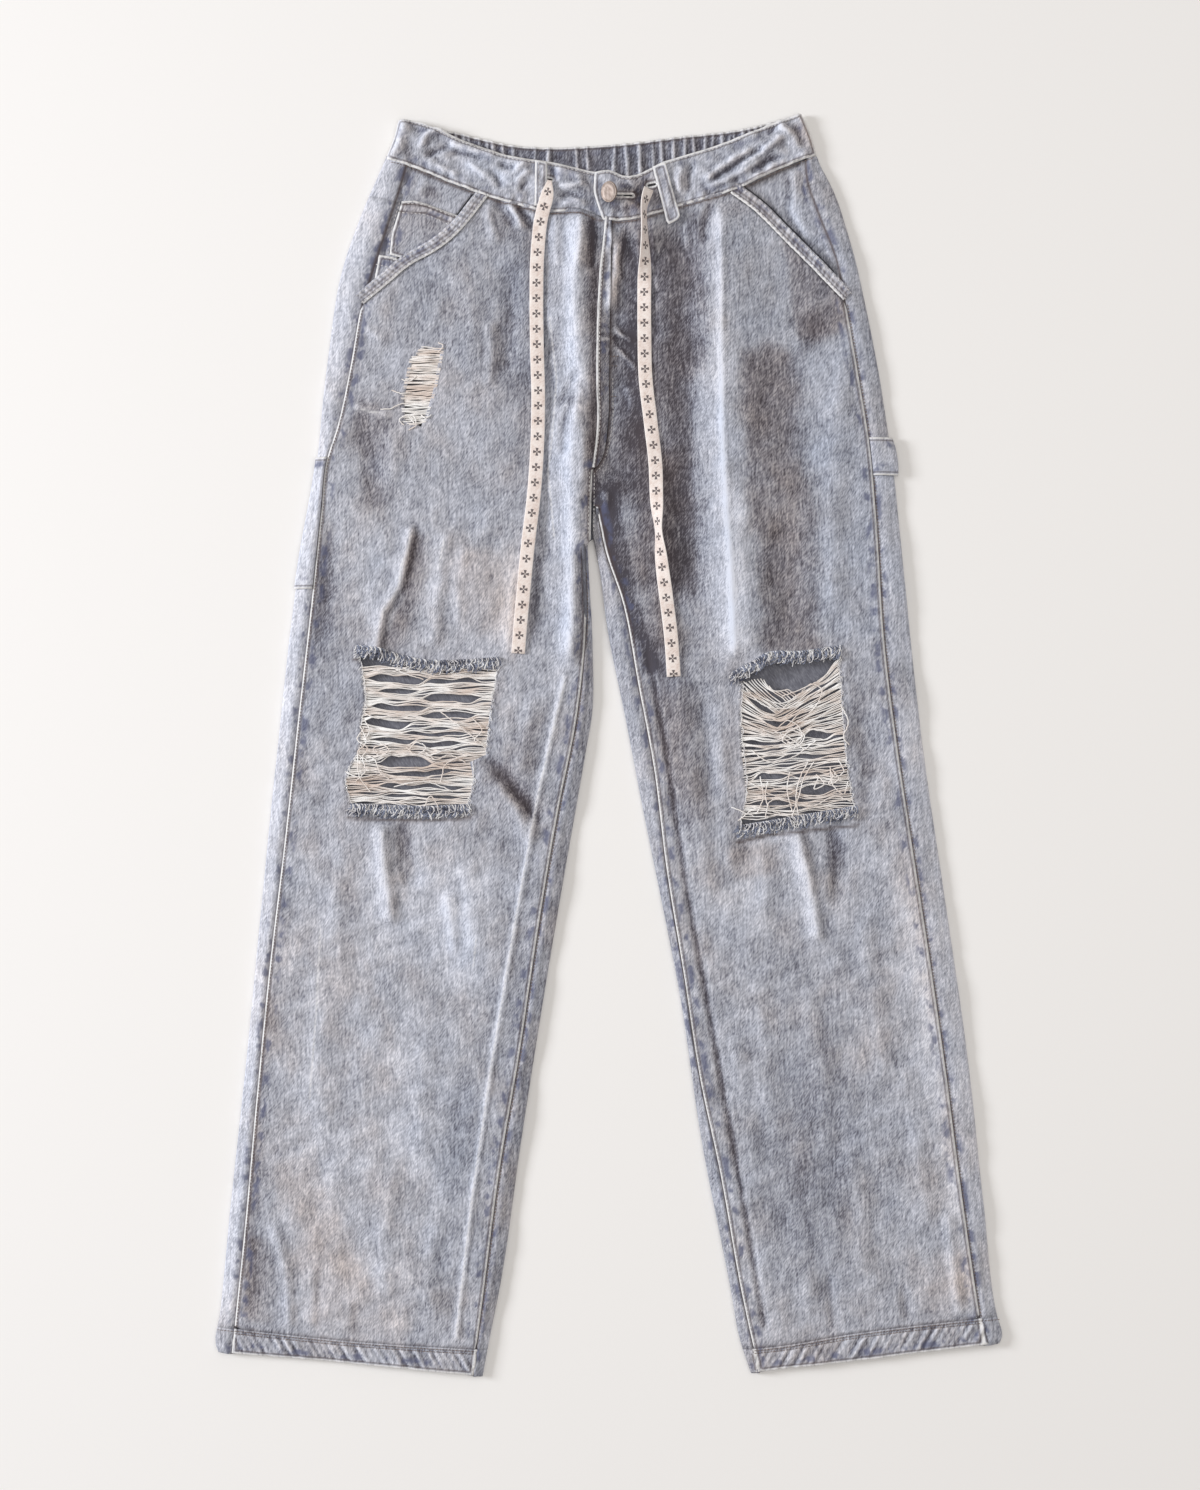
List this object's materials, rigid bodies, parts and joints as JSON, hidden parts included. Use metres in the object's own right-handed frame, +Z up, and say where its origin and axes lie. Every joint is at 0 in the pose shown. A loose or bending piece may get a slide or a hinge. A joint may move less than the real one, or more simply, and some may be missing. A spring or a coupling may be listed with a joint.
{
  "type": "ripped drawstring jeans",
  "caption": "Pale ripped jeans laid flat, with an elastic back waist, a button and drawstring front, wide straight legs and torn knees crossed by loose threads.",
  "frame": {"origin": "centre of the laid garment's plan, on the surface that it lies on", "axes": "+X to the viewer's right, +Y from the hems to the waist, +Z up off the surface, out of the garment's front"},
  "size_m": [0.6456, 1.0368, 0.02],
  "materials": {
    "denim": "pale washed twill denim",
    "waist_denim": "pale washed denim, crumpled",
    "gathered_denim": "denim gathered on elastic",
    "denim_inside": "unwashed wrong side of the denim",
    "loose_thread": "undyed cotton yarn",
    "fray": "blue and white frayed yarn",
    "topstitch": "sewing thread",
    "printed_tape": "cotton tape with a dark printed mark",
    "copper": "brushed copper plate"
  },
  "bodies": {
    "root": {"front_leg_left": "denim", "front_leg_right": "denim", "fly_placket": "denim", "back_leg_left": "denim", "back_leg_right": "denim", "back_yoke_left": "denim", "back_yoke_right": "denim", "waistband_front_left": "waist_denim", "waistband_front_right": "waist_denim", "waistband_back": "gathered_denim", "pocket_facing_left": "denim", "pocket_facing_right": "denim", "pocket_mouth_left": "denim", "pocket_mouth_right": "denim", "coin_pocket": "denim", "coin_pocket_lower": "denim", "belt_loop_left": "denim", "belt_loop_right": "denim", "tool_pocket": "denim", "hammer_loop": "denim", "hem_front_left": "denim", "hem_front_right": "denim", "hem_back_left": "denim", "hem_back_right": "denim", "knee_threads_left": "loose_thread", "knee_threads_right": "loose_thread", "thigh_threads": "loose_thread", "button": "copper", "drawstring_left": "printed_tape", "drawstring_right": "printed_tape"}
  },
  "joints": []
}
